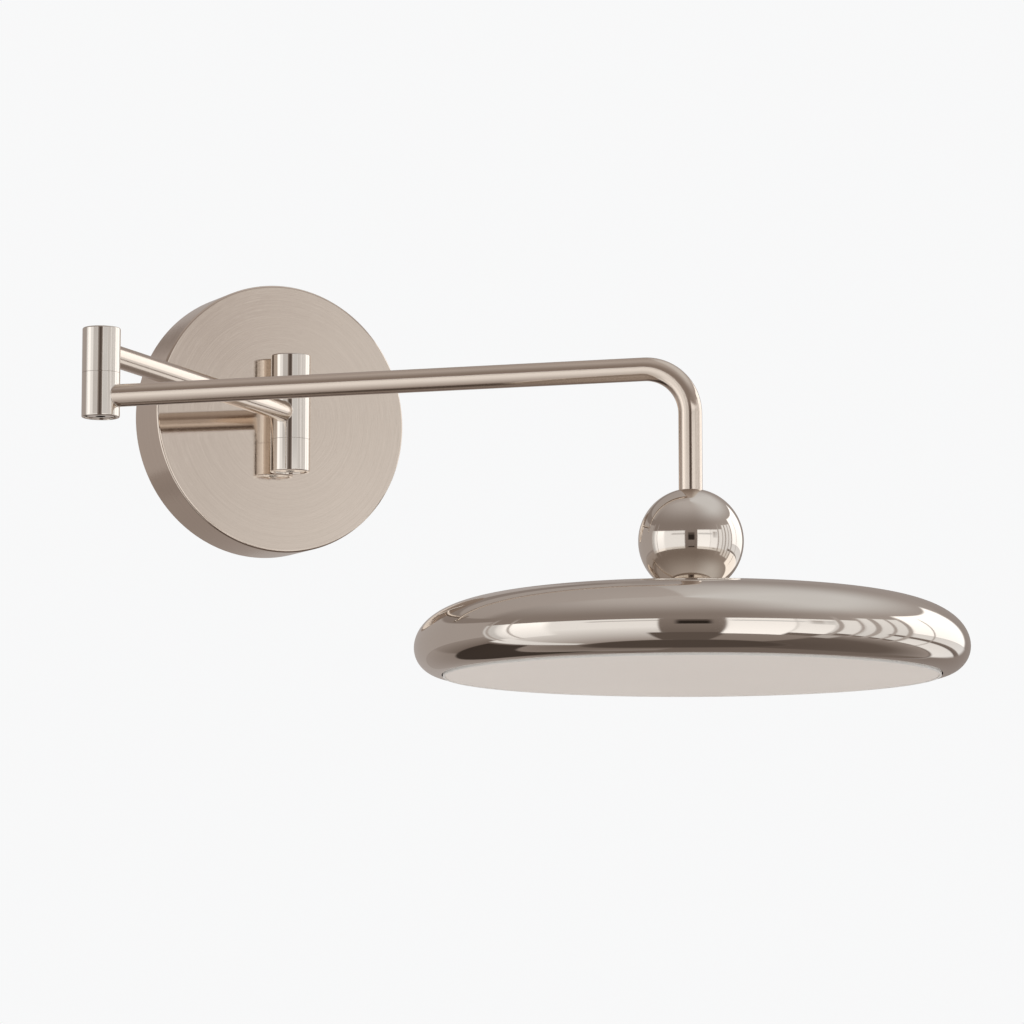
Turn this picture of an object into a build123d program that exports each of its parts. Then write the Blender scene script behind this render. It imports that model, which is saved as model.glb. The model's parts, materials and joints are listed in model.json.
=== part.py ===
from build123d import *
from math import cos, radians, sin, sqrt
import os

# Swing arm wall light with a disc shade, hard-wired, in millimetres.
# +Z is up. The wall is the plane y = 0 and the room is on its -Y side.
# The origin is the centre of the canopy's back edge, on the wall.

os.makedirs("parts", exist_ok=True)

# ---- Driving dimensions ----------------------------------------------------------------

# Canopy: a round drum on the wall
CANOPY_R = 62.5
CANOPY_DEPTH = 26.0
CANOPY_WALL = 1.5
CANOPY_EDGE = 1.0

# Wall bracket: a round plate flat on the wall, with two upright ears
BRACKET_R = 54.0
BRACKET_T = 2.0
CABLE_HOLE_R = 12.0
WALL_SLOT_SPACING = 80.0
WALL_SLOT_LENGTH = 12.0
WALL_SLOT_W = 5.2
EAR_W = 14.0
EAR_ROOT = 50.0
EAR_REACH = 59.8
EAR_DEPTH = 16.0
GRUB_R = 2.0
GRUB_Y = -11.0

# Tubes and knuckles
TUBE_R = 4.75
TUBE_BORE = 3.75
WIRE_R = 2.0
WIRE_HOLE_R = 3.0
WIRE_GAP = 0.3
SEAM = 0.2
RUNNING_FIT = 0.06
END_CHAMFER = 0.5
DISH_R_IN = 1.5
DISH_DEPTH = 0.5
SOCKET_AF = 4.0

# Wall knuckle: three stacked barrels on a hollow spindle
WALL_KNUCKLE_R = 9.25
WALL_SPINDLE_R = 5.0
SPINDLE_BORE = 3.3
FACE_GAP = 0.3
WALL_TOP_Z = 28.1
WALL_BOTTOM_Z = -26.25
SLEEVE_TOP_Z = 13.4
SLEEVE_BOTTOM_Z = -11.2
PAD_W = 10.0
TOP_PAD_Z = (15.0, 26.4)
BOTTOM_PAD_Z = (-24.6, -12.6)
BARREL_SCREW_Z = (23.8, 17.4, -21.8)
BARREL_SCREW_R = 1.6
WIRE_ENTRY_Z = -15.6

# Short arm, from the wall knuckle to the elbow
SHORT_ARM = 188.0
SHORT_ARM_ANGLE = 220.7
SHORT_ARM_Z = 1.0

# Elbow: two stacked barrels on a hollow spindle
ELBOW_R = 8.0
ELBOW_SPINDLE_R = 4.5
ELBOW_TOP_Z = 10.9
ELBOW_SEAM_Z = -8.2
ELBOW_BOTTOM_Z = -26.95

# Long arm, from the elbow to the drop, bent down over the head
LONG_ARM = 255.0
LONG_ARM_ANGLE = -45.0
LONG_ARM_Z = -18.0
BEND_R = 19.0
DROP_END_Z = -80.0

# Ball and shade
BALL_R = 21.0
BALL_Z = -88.1
BALL_WALL = 2.0
NECK_R = 8.0
NIPPLE_R = 3.75
NIPPLE_BORE = 2.4
SHADE_R = 110.0
SHADE_RIM_Z = -130.9
SHADE_RISE = 21.1
SHADE_POWER = 6.0
SKIRT_W = 11.4
SKIRT_DROP = 10.7
DIFFUSER_Z = -142.3
SHADE_WALL = 1.2
HEAT_SINK_R = 86.0
STUD_CIRCLE_R = 60.0
DIFFUSER_R = 97.65
DIFFUSER_T = 2.6
DIFFUSER_SETBACK = 0.25

# ---- Places worked out from them --------------------------------------------------------

WALL_AXIS = Vector(0, -(CANOPY_DEPTH + FACE_GAP + WALL_KNUCKLE_R), 0)


def heading(angle):
    return Vector(cos(radians(angle)), sin(radians(angle)), 0)


ELBOW_AXIS = WALL_AXIS + heading(SHORT_ARM_ANGLE) * SHORT_ARM
HEAD_AXIS = ELBOW_AXIS + heading(LONG_ARM_ANGLE) * LONG_ARM
SHADE_TOP_Z = SHADE_RIM_Z + SHADE_RISE
SHADE_LIP_R = SHADE_R - SKIRT_W


# ---- Helpers -----------------------------------------------------------------------------


def save(name, shape):
    export_step(shape, f"parts/{name}.step")


def upright(axis, radius, low, high):
    """A vertical cylinder about an axis, between two heights."""
    return Pos(axis.X, axis.Y, (low + high) / 2) * Cylinder(radius, high - low)


def ring(axis, radius, bore, low, high):
    return upright(axis, radius, low, high) - upright(axis, bore, low - 1, high + 1)


def rod(start, end, radius):
    """A round bar between two points."""
    axis = end - start
    plane = Plane(origin=start, z_dir=axis)
    return extrude(plane * Circle(radius), axis.length)


def box(x, y, z):
    """A box from its low and high limits on each axis."""
    size = (x[1] - x[0], y[1] - y[0], z[1] - z[0])
    return Pos((x[0] + x[1]) / 2, (y[0] + y[1]) / 2, (z[0] + z[1]) / 2) * Box(*size)


def half_space(axis, angle, edge, low, high, reach=20.0):
    """A block on the side of an axis that faces away from angle, starting edge before it."""
    block = box((-reach, edge), (-reach, reach), (low, high))
    return Pos(axis.X, axis.Y, 0) * Rot(0, 0, angle) * block


def hex_socket(axis, low, high):
    """A hexagonal key hole, open at its low end."""
    profile = RegularPolygon(SOCKET_AF / 2, 6, major_radius=False)
    return Pos(axis.X, axis.Y, low) * extrude(profile, high - low)


def turned(axis, points):
    """A solid of revolution about a vertical axis from its half outline in (radius, height)."""
    outline = make_face(Polyline(*points, close=True))
    return Pos(axis.X, axis.Y, 0) * revolve(Plane.XZ * outline, Axis.Z)


def pan_screw(head_r, head_h, shank_r, shank_l, slot_w=0.8):
    """A slotted screw with its head above z = 0 and its shank below."""
    head = fillet(Cylinder(head_r, head_h).edges().group_by(Axis.Z)[-1], head_h * 0.4)
    head = Pos(0, 0, head_h / 2) * head
    slot = Pos(0, 0, head_h) * Box(head_r * 3, slot_w, head_h * 0.8)
    shank = Pos(0, 0, -shank_l / 2) * Cylinder(shank_r, shank_l)
    return head - slot + shank


def wire_along(points, radii, radius):
    """A round wire of straight runs joined by tangent arcs."""
    path = FilletPolyline(*points, radius=radii)
    section = Plane(origin=path @ 0, z_dir=path % 0) * Circle(radius)
    return sweep(section, path=path)


# ---- Wall body: bracket and what it carries ---------------------------------------------

DRIVER_X = 34.0
DRIVER_Z = (20.0, 48.0)
DRIVER_DEPTH = 17.0
DRIVER_LUG = (41.0, 34.0)
TERMINAL_X = 18.0
TERMINAL_Z = (-44.0, -30.0)
TERMINAL_DEPTH = 13.0
EARTH_AT = (34.0, -27.0)
SMALL_SCREW_R = 1.5


def wall_bracket():
    plate = extrude(Plane.XZ * Circle(BRACKET_R), BRACKET_T)
    for side in (-1, 1):
        neck_z = sorted((side * EAR_ROOT, side * (EAR_REACH - BRACKET_T)))
        plate += box((-EAR_W / 2, EAR_W / 2), (-BRACKET_T, 0), neck_z)
    plate -= rod(Vector(0, 1, 0), Vector(0, -BRACKET_T - 1, 0), CABLE_HOLE_R)
    slot = Plane.XZ * SlotOverall(WALL_SLOT_LENGTH, WALL_SLOT_W)
    for side in (-1, 1):
        plate -= Pos(side * WALL_SLOT_SPACING / 2, 1, 0) * extrude(slot, BRACKET_T + 2)
        lug_x, lug_z = side * (DRIVER_LUG[0] - 3.5), DRIVER_LUG[1]
        plate -= rod(Vector(lug_x, 1, lug_z), Vector(lug_x, -5, lug_z), SMALL_SCREW_R)
    earth_x, earth_z = EARTH_AT
    plate -= rod(Vector(earth_x, 1, earth_z), Vector(earth_x, -5, earth_z), SMALL_SCREW_R)
    return plate


def bracket_ears():
    """The two upright tabs on the bracket's necks, tapped for the canopy's grub screws."""
    ears = []
    for side in (-1, 1):
        ear_z = sorted((side * (EAR_REACH - BRACKET_T), side * EAR_REACH))
        ear = box((-EAR_W / 2, EAR_W / 2), (-EAR_DEPTH, 0), ear_z)
        ears.append(ear - rod(Vector(0, GRUB_Y, -70), Vector(0, GRUB_Y, 70), GRUB_R))
    return Compound(children=ears)


def led_driver():
    back = -BRACKET_T
    case = box((-DRIVER_X, DRIVER_X), (back - DRIVER_DEPTH, back), DRIVER_Z)
    case = fillet(case.edges().filter_by(Axis.Y), 2.5)
    lug_z = (DRIVER_LUG[1] - 3, DRIVER_LUG[1] + 3)
    for side in (-1, 1):
        lug_x = sorted((side * (DRIVER_X - 1), side * DRIVER_LUG[0]))
        hole_x = side * (DRIVER_LUG[0] - 3.5)
        hole_z = DRIVER_LUG[1]
        case += box(lug_x, (back - 1.6, back), lug_z)
        case -= rod(Vector(hole_x, 1, hole_z), Vector(hole_x, -5, hole_z), SMALL_SCREW_R)
    return case


def facing_room(shape, x, y, z):
    """Turns a shape drawn along +Z to point at the room, and moves it to a point."""
    return Pos(x, y, z) * Rot(90, 0, 0) * shape


def driver_screws():
    screw = pan_screw(2.8, 1.8, SMALL_SCREW_R, 1.6 + BRACKET_T)
    head_y = -BRACKET_T - 1.6
    hole_x = DRIVER_LUG[0] - 3.5
    screws = [facing_room(screw, side * hole_x, head_y, DRIVER_LUG[1]) for side in (-1, 1)]
    return Compound(children=screws)


def terminal_block():
    front = -BRACKET_T - TERMINAL_DEPTH
    block = box((-TERMINAL_X, TERMINAL_X), (front, -BRACKET_T), TERMINAL_Z)
    block = fillet(block.edges().filter_by(Axis.Y), 1.2)
    mid_z = sum(TERMINAL_Z) / 2
    for way in (-1, 0, 1):
        block -= rod(Vector(way * 11, front - 1, mid_z), Vector(way * 11, front + 3, mid_z), 3.0)
        mouth = Vector(way * 11, -BRACKET_T - 5.0, TERMINAL_Z[0] - 1)
        block -= rod(mouth, mouth + Vector(0, 0, 5), 2.2)
    return block


def terminal_screws():
    screw = Pos(0, 0, 0.6) * (Cylinder(2.6, 1.2) - Pos(0, 0, 0.6) * Box(6, 0.8, 0.9))
    floor = -BRACKET_T - TERMINAL_DEPTH + 3
    mid_z = sum(TERMINAL_Z) / 2
    return Compound(children=[facing_room(screw, way * 11, floor, mid_z) for way in (-1, 0, 1)])


def earth_screw():
    return facing_room(
        pan_screw(3.2, 2.2, SMALL_SCREW_R, BRACKET_T), EARTH_AT[0], -BRACKET_T, EARTH_AT[1]
    )


def driver_lead():
    lead_y = -BRACKET_T - 7
    lead_x = TERMINAL_X + 8
    mid_z = sum(TERMINAL_Z) / 2
    points = [(lead_x, lead_y, DRIVER_Z[0]), (lead_x, lead_y, mid_z), (TERMINAL_X, lead_y, mid_z)]
    return wire_along(points, 6.0, 1.5)


# ---- Wall body: canopy and fixed barrels --------------------------------------------------


def canopy_cover():
    outer = extrude(Plane.XZ * Circle(CANOPY_R), CANOPY_DEPTH)
    outer = fillet(outer.edges().group_by(Axis.Y)[0], CANOPY_EDGE)
    inner = extrude(Plane.XZ * Circle(CANOPY_R - CANOPY_WALL), CANOPY_DEPTH - CANOPY_WALL)
    cover = outer - inner
    cover -= rod(Vector(0, GRUB_Y, -70), Vector(0, GRUB_Y, 70), GRUB_R)
    for z in BARREL_SCREW_Z:
        cover -= rod(Vector(0, -20, z), Vector(0, -30, z), BARREL_SCREW_R)
    return cover - rod(Vector(0, -20, WIRE_ENTRY_Z), Vector(0, -30, WIRE_ENTRY_Z), WIRE_HOLE_R)


def canopy_grub_screws():
    screws = []
    for side in (-1, 1):
        tip = Vector(0, GRUB_Y, side * (EAR_REACH - BRACKET_T - 3))
        face = Vector(0, GRUB_Y, side * (CANOPY_R - 0.4))
        key = extrude(Plane(origin=face, z_dir=tip - face) * RegularPolygon(1.0, 6), 2.0)
        screws.append(rod(face, tip, GRUB_R) - key)
    return Compound(children=screws)


STIFFENER_T = 2.0
STIFFENER_FACE = -(CANOPY_DEPTH - CANOPY_WALL)


def canopy_stiffener():
    """The plate behind the canopy's face that the fixed barrels are screwed to."""
    plate = box((-12, 12), (STIFFENER_FACE, STIFFENER_FACE + STIFFENER_T), (-29, 33))
    plate = fillet(plate.edges().filter_by(Axis.Y), 4)
    for z in BARREL_SCREW_Z:
        plate -= rod(Vector(0, -20, z), Vector(0, -30, z), BARREL_SCREW_R)
    return plate - rod(Vector(0, -20, WIRE_ENTRY_Z), Vector(0, -30, WIRE_ENTRY_Z), WIRE_HOLE_R)


def barrel_screws():
    seat = STIFFENER_FACE + STIFFENER_T
    grip = seat + CANOPY_DEPTH + 3.0
    screw = pan_screw(2.8, 2.0, BARREL_SCREW_R, grip)
    screws = [Pos(0, seat, z) * Rot(-90, 0, 0) * screw for z in BARREL_SCREW_Z]
    return Compound(children=screws)


def barrel_pad(z_range):
    """The foot that stands a fixed barrel on the canopy's face."""
    return box((-PAD_W / 2, PAD_W / 2), (WALL_AXIS.Y, -CANOPY_DEPTH), z_range)


def barrel_screw_holes(shape):
    for z in BARREL_SCREW_Z:
        shape -= rod(Vector(0, -20, z), Vector(0, -CANOPY_DEPTH - 3.0, z), BARREL_SCREW_R)
    return shape


SPINDLE_TOP_Z = WALL_TOP_Z - 2.5
PLUG_TOP_Z = WALL_BOTTOM_Z + 5.0


def wall_barrel_top():
    barrel = upright(WALL_AXIS, WALL_KNUCKLE_R, SLEEVE_TOP_Z + SEAM, WALL_TOP_Z)
    barrel = chamfer(barrel.edges().group_by(Axis.Z)[-1], END_CHAMFER)
    barrel += barrel_pad(TOP_PAD_Z)
    barrel -= upright(WALL_AXIS, WALL_SPINDLE_R, 0, SPINDLE_TOP_Z)
    return barrel_screw_holes(barrel)


def wall_barrel_bottom():
    barrel = upright(WALL_AXIS, WALL_KNUCKLE_R, WALL_BOTTOM_Z, SLEEVE_BOTTOM_Z - SEAM)
    barrel = chamfer(barrel.edges().group_by(Axis.Z)[0], END_CHAMFER)
    barrel += barrel_pad(BOTTOM_PAD_Z)
    barrel -= upright(WALL_AXIS, WALL_SPINDLE_R, WALL_BOTTOM_Z - 1, 0)
    barrel -= upright(
        WALL_AXIS, WALL_KNUCKLE_R - DISH_R_IN, WALL_BOTTOM_Z - 1, WALL_BOTTOM_Z + DISH_DEPTH
    )
    barrel = barrel_screw_holes(barrel)
    entry = Vector(0, -20, WIRE_ENTRY_Z)
    return barrel - rod(entry, Vector(0, WALL_AXIS.Y, WIRE_ENTRY_Z), WIRE_HOLE_R)


def wall_spindle():
    spindle = ring(WALL_AXIS, WALL_SPINDLE_R, SPINDLE_BORE, PLUG_TOP_Z, SPINDLE_TOP_Z)
    arm_window = half_space(WALL_AXIS, 90, 1.0, SHORT_ARM_Z - 3.5, SHORT_ARM_Z + 3.5)
    entry = Vector(0, -20, WIRE_ENTRY_Z)
    return spindle - arm_window - rod(entry, Vector(0, WALL_AXIS.Y, WIRE_ENTRY_Z), WIRE_HOLE_R)


def wall_end_plug():
    low = WALL_BOTTOM_Z + DISH_DEPTH
    plug = upright(WALL_AXIS, WALL_SPINDLE_R, low, PLUG_TOP_Z)
    return plug - hex_socket(WALL_AXIS, low, low + 3)


WASHER_T = 0.7
WASHER_RECESS = 0.6


def seam_washer(axis, bore, radius, seam_mid):
    return ring(axis, radius, bore, seam_mid - WASHER_T / 2, seam_mid + WASHER_T / 2)


def wall_washers():
    upper = SLEEVE_TOP_Z + SEAM - WASHER_T / 2
    lower = SLEEVE_BOTTOM_Z - SEAM + WASHER_T / 2
    bore = WALL_SPINDLE_R + RUNNING_FIT
    return Compound(children=[seam_washer(WALL_AXIS, bore, 7.4, z) for z in (upper, lower)])


def lamp_wire():
    """Runs from the terminal block through the canopy's face into the hollow spindle."""
    start = Vector(0, -BRACKET_T - 8, TERMINAL_Z[1])
    turn = Vector(0, start.Y, WIRE_ENTRY_Z)
    end = Vector(0, WALL_AXIS.Y, WIRE_ENTRY_Z)
    return wire_along([start, turn, end], 7.0, WIRE_R)


# ---- Short arm body -------------------------------------------------------------------------


def wall_sleeve():
    sleeve = ring(
        WALL_AXIS, WALL_KNUCKLE_R, WALL_SPINDLE_R + RUNNING_FIT, SLEEVE_BOTTOM_Z, SLEEVE_TOP_Z
    )
    sleeve -= upright(WALL_AXIS, 7.6, SLEEVE_TOP_Z - WASHER_RECESS, SLEEVE_TOP_Z + 1)
    sleeve -= upright(WALL_AXIS, 7.6, SLEEVE_BOTTOM_Z - 1, SLEEVE_BOTTOM_Z + WASHER_RECESS)
    return sleeve - short_arm_bar(WIRE_HOLE_R)


def short_arm_bar(radius):
    """A bar along the whole short arm, from one knuckle's axis to the other's."""
    lift = Vector(0, 0, SHORT_ARM_Z)
    return rod(WALL_AXIS + lift, ELBOW_AXIS + lift, radius)


def short_arm_tube():
    tube = short_arm_bar(TUBE_R) - short_arm_bar(TUBE_BORE)
    tube -= upright(WALL_AXIS, WALL_KNUCKLE_R, -30, 30)
    return tube - upright(ELBOW_AXIS, ELBOW_R, -30, 30)


def short_arm_wire():
    lift = Vector(0, 0, SHORT_ARM_Z)
    along = heading(SHORT_ARM_ANGLE)
    clear = WALL_SPINDLE_R + WIRE_GAP
    return rod(WALL_AXIS + lift + along * clear, ELBOW_AXIS + lift - along * clear, WIRE_R)


ELBOW_BORE_TOP_Z = ELBOW_TOP_Z - 2.5
ELBOW_SEAT_Z = ELBOW_BOTTOM_Z + 3.9
ELBOW_SPINDLE_END_Z = ELBOW_SEAT_Z - 0.5
TOWARD_WALL_ANGLE = SHORT_ARM_ANGLE - 180


def elbow_barrel_upper():
    barrel = upright(ELBOW_AXIS, ELBOW_R, ELBOW_SEAM_Z + SEAM / 2, ELBOW_TOP_Z)
    barrel = chamfer(barrel.edges().group_by(Axis.Z)[-1], END_CHAMFER)
    barrel -= upright(ELBOW_AXIS, ELBOW_SPINDLE_R, -20, ELBOW_BORE_TOP_Z)
    return barrel - short_arm_bar(WIRE_HOLE_R)


def elbow_spindle():
    spindle = ring(ELBOW_AXIS, ELBOW_SPINDLE_R, 2.8, ELBOW_SPINDLE_END_Z, ELBOW_BORE_TOP_Z)
    window = half_space(ELBOW_AXIS, TOWARD_WALL_ANGLE, 1.0, LONG_ARM_Z - 3, LONG_ARM_Z + 3)
    return spindle - short_arm_bar(WIRE_HOLE_R) - window


def elbow_cap_screw():
    head_low = ELBOW_BOTTOM_Z + DISH_DEPTH
    head = upright(ELBOW_AXIS, 5.9, head_low, ELBOW_SPINDLE_END_Z)
    head = chamfer(head.edges().group_by(Axis.Z)[0], 0.4)
    shank = upright(ELBOW_AXIS, 2.8, ELBOW_SPINDLE_END_Z, ELBOW_SPINDLE_END_Z + 2)
    return head + shank - hex_socket(ELBOW_AXIS, head_low, head_low + 2.2)


def elbow_washers():
    seam_z = ELBOW_SEAM_Z - SEAM / 2
    bore = ELBOW_SPINDLE_R + RUNNING_FIT
    upper = ring(ELBOW_AXIS, 6.6, bore, seam_z - WASHER_RECESS + 0.05, seam_z + SEAM - 0.02)
    lower = ring(ELBOW_AXIS, 5.8, bore, ELBOW_SPINDLE_END_Z + 0.02, ELBOW_SEAT_Z - 0.05)
    return Compound(children=[upper, lower])


# ---- Long arm body ---------------------------------------------------------------------------


def long_arm_path(start_gap, end_z):
    along = heading(LONG_ARM_ANGLE)
    lift = Vector(0, 0, LONG_ARM_Z)
    start = ELBOW_AXIS + lift + along * start_gap
    corner = HEAD_AXIS + lift
    end = Vector(HEAD_AXIS.X, HEAD_AXIS.Y, end_z)
    return FilletPolyline(start, corner, end, radius=BEND_R)


def along_long_arm(radius, start_gap, end_z):
    path = long_arm_path(start_gap, end_z)
    section = Plane(origin=path @ 0, z_dir=path % 0) * Circle(radius)
    return sweep(section, path=path)


def elbow_barrel_lower():
    barrel = ring(
        ELBOW_AXIS, ELBOW_R, ELBOW_SPINDLE_R + RUNNING_FIT, ELBOW_BOTTOM_Z, ELBOW_SEAM_Z - SEAM / 2
    )
    barrel = chamfer(barrel.edges().group_by(Axis.Z)[0].sort_by(Edge.length)[-1], END_CHAMFER)
    top = ELBOW_SEAM_Z - SEAM / 2
    barrel -= upright(ELBOW_AXIS, 6.8, top - WASHER_RECESS, top + 1)
    barrel -= upright(ELBOW_AXIS, 6.3, ELBOW_BOTTOM_Z - 1, ELBOW_SEAT_Z)
    start = ELBOW_AXIS + Vector(0, 0, LONG_ARM_Z)
    return barrel - rod(start, start + heading(LONG_ARM_ANGLE) * 12, WIRE_HOLE_R)


def long_arm_tube():
    tube = along_long_arm(TUBE_R, 0, DROP_END_Z) - along_long_arm(TUBE_BORE, 0, DROP_END_Z)
    return tube - upright(ELBOW_AXIS, ELBOW_R, -40, 0)


def long_arm_wire():
    return along_long_arm(WIRE_R, ELBOW_SPINDLE_R + WIRE_GAP, NIPPLE_END_Z)


NIPPLE_TOP_Z = DROP_END_Z + 10
NIPPLE_END_Z = SHADE_TOP_Z - 12.0
SPACER_R = 6.4
BALL_FLOOR_Z = BALL_Z - 12.0
BALL_CUT_Z = BALL_Z - sqrt(BALL_R**2 - NECK_R**2)
BOSS_T = 3.0
BOSS_TOP_Z = SHADE_TOP_Z - SHADE_WALL
FRICTION_T = 0.8
NUT_T = 5.0


def drop_nipple():
    return ring(HEAD_AXIS, NIPPLE_R, NIPPLE_BORE, NIPPLE_END_Z, NIPPLE_TOP_Z)


def drop_spacer():
    """Stands on the nipple between the tube's end and the ball's floor."""
    return ring(HEAD_AXIS, SPACER_R, NIPPLE_R, BALL_FLOOR_Z + 0.1, DROP_END_Z)


def swivel_nut():
    top = BOSS_TOP_Z - BOSS_T - FRICTION_T - 0.1
    nut = extrude(Pos(HEAD_AXIS.X, HEAD_AXIS.Y, top) * RegularPolygon(7, 6, major_radius=False), -NUT_T)
    return nut - upright(HEAD_AXIS, NIPPLE_R, top - NUT_T - 1, top + 1)


# ---- Head body ---------------------------------------------------------------------------------

NIPPLE_HOLE_R = NIPPLE_R + 0.08


def ball_shell():
    ball = Sphere(BALL_R) - Sphere(BALL_R - BALL_WALL)
    floor = Pos(0, 0, BALL_FLOOR_Z - BALL_Z - 3) * Cylinder(15.5, 6)
    ball += floor & Sphere(BALL_R - BALL_WALL / 2)
    ball = Pos(HEAD_AXIS.X, HEAD_AXIS.Y, BALL_Z) * ball
    ball -= upright(HEAD_AXIS, TUBE_R + 0.25, BALL_Z, BALL_Z + BALL_R)
    ball -= upright(HEAD_AXIS, NIPPLE_HOLE_R, BALL_Z - BALL_R - 1, BALL_Z)
    return ball - upright(HEAD_AXIS, BALL_R, BALL_Z - BALL_R - 1, BALL_CUT_Z)


def neck_ring():
    return ring(HEAD_AXIS, NECK_R, NIPPLE_HOLE_R, SHADE_TOP_Z + 0.02, BALL_CUT_Z)


def shade_outline(inset):
    """Points of a superellipse from near the shade's middle down to its rim, moved inward by inset."""
    upper = []
    for degrees in (86, 78, 68, 57, 46, 35, 24, 12):
        turn = radians(degrees)
        r = (SHADE_R - inset) * cos(turn) ** (2 / SHADE_POWER)
        upper.append((r, SHADE_RIM_Z + (SHADE_RISE - inset) * sin(turn)))
    rim = (SHADE_R - inset, SHADE_RIM_Z)
    return upper, rim


def shade_curve(inset):
    """The shade's half outline: a crown curve down to the rim, and a quarter ellipse to the lip."""
    upper, rim = shade_outline(inset)
    top = (NIPPLE_HOLE_R, SHADE_TOP_Z - inset)
    crown = Spline(top, *upper, rim, tangents=[(1, 0), (0, -1)])
    centre = (SHADE_LIP_R, SHADE_RIM_Z)
    skirt = EllipticalCenterArc(centre, SKIRT_W - inset, SKIRT_DROP - inset, -90, arc_size=90)
    return crown, skirt


def shade_shell():
    crown, skirt = shade_curve(0)
    crown_in, skirt_in = shade_curve(SHADE_WALL)
    lip = Line(skirt @ 0, skirt_in @ 0)
    hub = Line(crown_in @ 0, crown @ 0)
    outline = make_face(Curve() + [crown, skirt, lip, skirt_in, crown_in, hub])
    return Pos(HEAD_AXIS.X, HEAD_AXIS.Y, 0) * revolve(Plane.XZ * outline, Axis.Z)


def shade_boss():
    return ring(HEAD_AXIS, 18, NIPPLE_HOLE_R, BOSS_TOP_Z - BOSS_T, BOSS_TOP_Z)


def friction_washer():
    top = BOSS_TOP_Z - BOSS_T
    return ring(HEAD_AXIS, 9, NIPPLE_HOLE_R, top - FRICTION_T, top)


SINK_TOP_Z = SHADE_TOP_Z - 14.2
SINK_T = 3.0
BOARD_T = 1.6
BOARD_R = 82.0
STUD_R = 4.0
SINK_SCREW_R = 1.5
STUDS = [(STUD_CIRCLE_R * cos(radians(a)), STUD_CIRCLE_R * sin(radians(a))) for a in (45, 135, 225, 315)]


def at_studs(shape):
    return [Pos(HEAD_AXIS.X + x, HEAD_AXIS.Y + y, 0) * shape for x, y in STUDS]


def shade_studs():
    """Pillars fixed under the shade's crown, that the heat sink hangs from."""
    crown_drop = SHADE_RISE * (1 - sqrt(1 - ((STUD_CIRCLE_R + STUD_R) / SHADE_R) ** SHADE_POWER))
    top = BOSS_TOP_Z - crown_drop - 0.1
    pillar = ring(Vector(0, 0, 0), STUD_R, SINK_SCREW_R, SINK_TOP_Z, top)
    return Compound(children=at_studs(pillar))


def heat_sink():
    sink = ring(HEAD_AXIS, HEAT_SINK_R, 12, SINK_TOP_Z - SINK_T, SINK_TOP_Z)
    for fin_r in (26, 34, 42, 70, 77):
        sink += ring(HEAD_AXIS, fin_r + 1.2, fin_r, SINK_TOP_Z, SINK_TOP_Z + 5)
    for hole in at_studs(upright(Vector(0, 0, 0), SINK_SCREW_R, -140, -110)):
        sink -= hole
    return sink


BOARD_TOP_Z = SINK_TOP_Z - SINK_T


def led_board():
    board = ring(HEAD_AXIS, BOARD_R, 6, BOARD_TOP_Z - BOARD_T, BOARD_TOP_Z)
    for hole in at_studs(upright(Vector(0, 0, 0), SINK_SCREW_R, -140, -110)):
        board -= hole
    return board


def heat_sink_screws():
    seat = BOARD_TOP_Z - BOARD_T
    screw = Rot(180, 0, 0) * pan_screw(3.0, 1.8, SINK_SCREW_R, 10.0)
    return Compound(children=at_studs(Pos(0, 0, seat) * screw))


def led_chips():
    top = BOARD_TOP_Z - BOARD_T
    chips = []
    for circle_r, count in ((22, 8), (44, 16), (74, 24)):
        for step in range(count):
            turn = Rot(0, 0, 360 * step / count)
            chips.append(turn * Pos(circle_r, 0, top - 0.45) * Box(3, 3, 0.9))
    return Compound(children=[Pos(HEAD_AXIS.X, HEAD_AXIS.Y, 0) * chip for chip in chips])


def side_reflector():
    """A white cone from the board's edge out to the diffuser's edge."""
    inner = HEAT_SINK_R + 0.5
    top = SINK_TOP_Z - SINK_T
    low = DIFFUSER_Z + 3.4
    points = [(inner, top), (inner + 1, top), (DIFFUSER_R, low), (DIFFUSER_R - 1, low)]
    return turned(HEAD_AXIS, points)


def diffuser():
    low = DIFFUSER_Z + DIFFUSER_SETBACK
    disc = upright(HEAD_AXIS, DIFFUSER_R, low, low + DIFFUSER_T)
    return fillet(disc.edges().group_by(Axis.Z)[0], 0.3)


def diffuser_ring():
    """The pale ring that holds the diffuser in the shade's lip, and stands out below it."""
    low = DIFFUSER_Z
    inner = DIFFUSER_R + 0.05
    outer = SHADE_LIP_R - 0.1
    points = [(inner, low), (outer, low), (outer, low + 8), (inner + 1.2, low + 8), (inner, low + 6.5)]
    return turned(HEAD_AXIS, points)


# ---- Export ------------------------------------------------------------------------------------

NODES = [
    wall_bracket,
    bracket_ears,
    led_driver,
    driver_screws,
    terminal_block,
    terminal_screws,
    earth_screw,
    driver_lead,
    canopy_cover,
    canopy_grub_screws,
    canopy_stiffener,
    barrel_screws,
    wall_barrel_top,
    wall_barrel_bottom,
    wall_spindle,
    wall_end_plug,
    wall_washers,
    lamp_wire,
    wall_sleeve,
    short_arm_tube,
    short_arm_wire,
    elbow_barrel_upper,
    elbow_spindle,
    elbow_cap_screw,
    elbow_washers,
    elbow_barrel_lower,
    long_arm_tube,
    long_arm_wire,
    drop_nipple,
    drop_spacer,
    swivel_nut,
    ball_shell,
    neck_ring,
    shade_shell,
    shade_boss,
    friction_washer,
    shade_studs,
    heat_sink,
    heat_sink_screws,
    led_board,
    led_chips,
    side_reflector,
    diffuser,
    diffuser_ring,
]

for node in NODES:
    save(node.__name__, node())
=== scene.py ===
import json
from math import acos, cos, hypot, pi, radians, sin, sqrt

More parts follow.
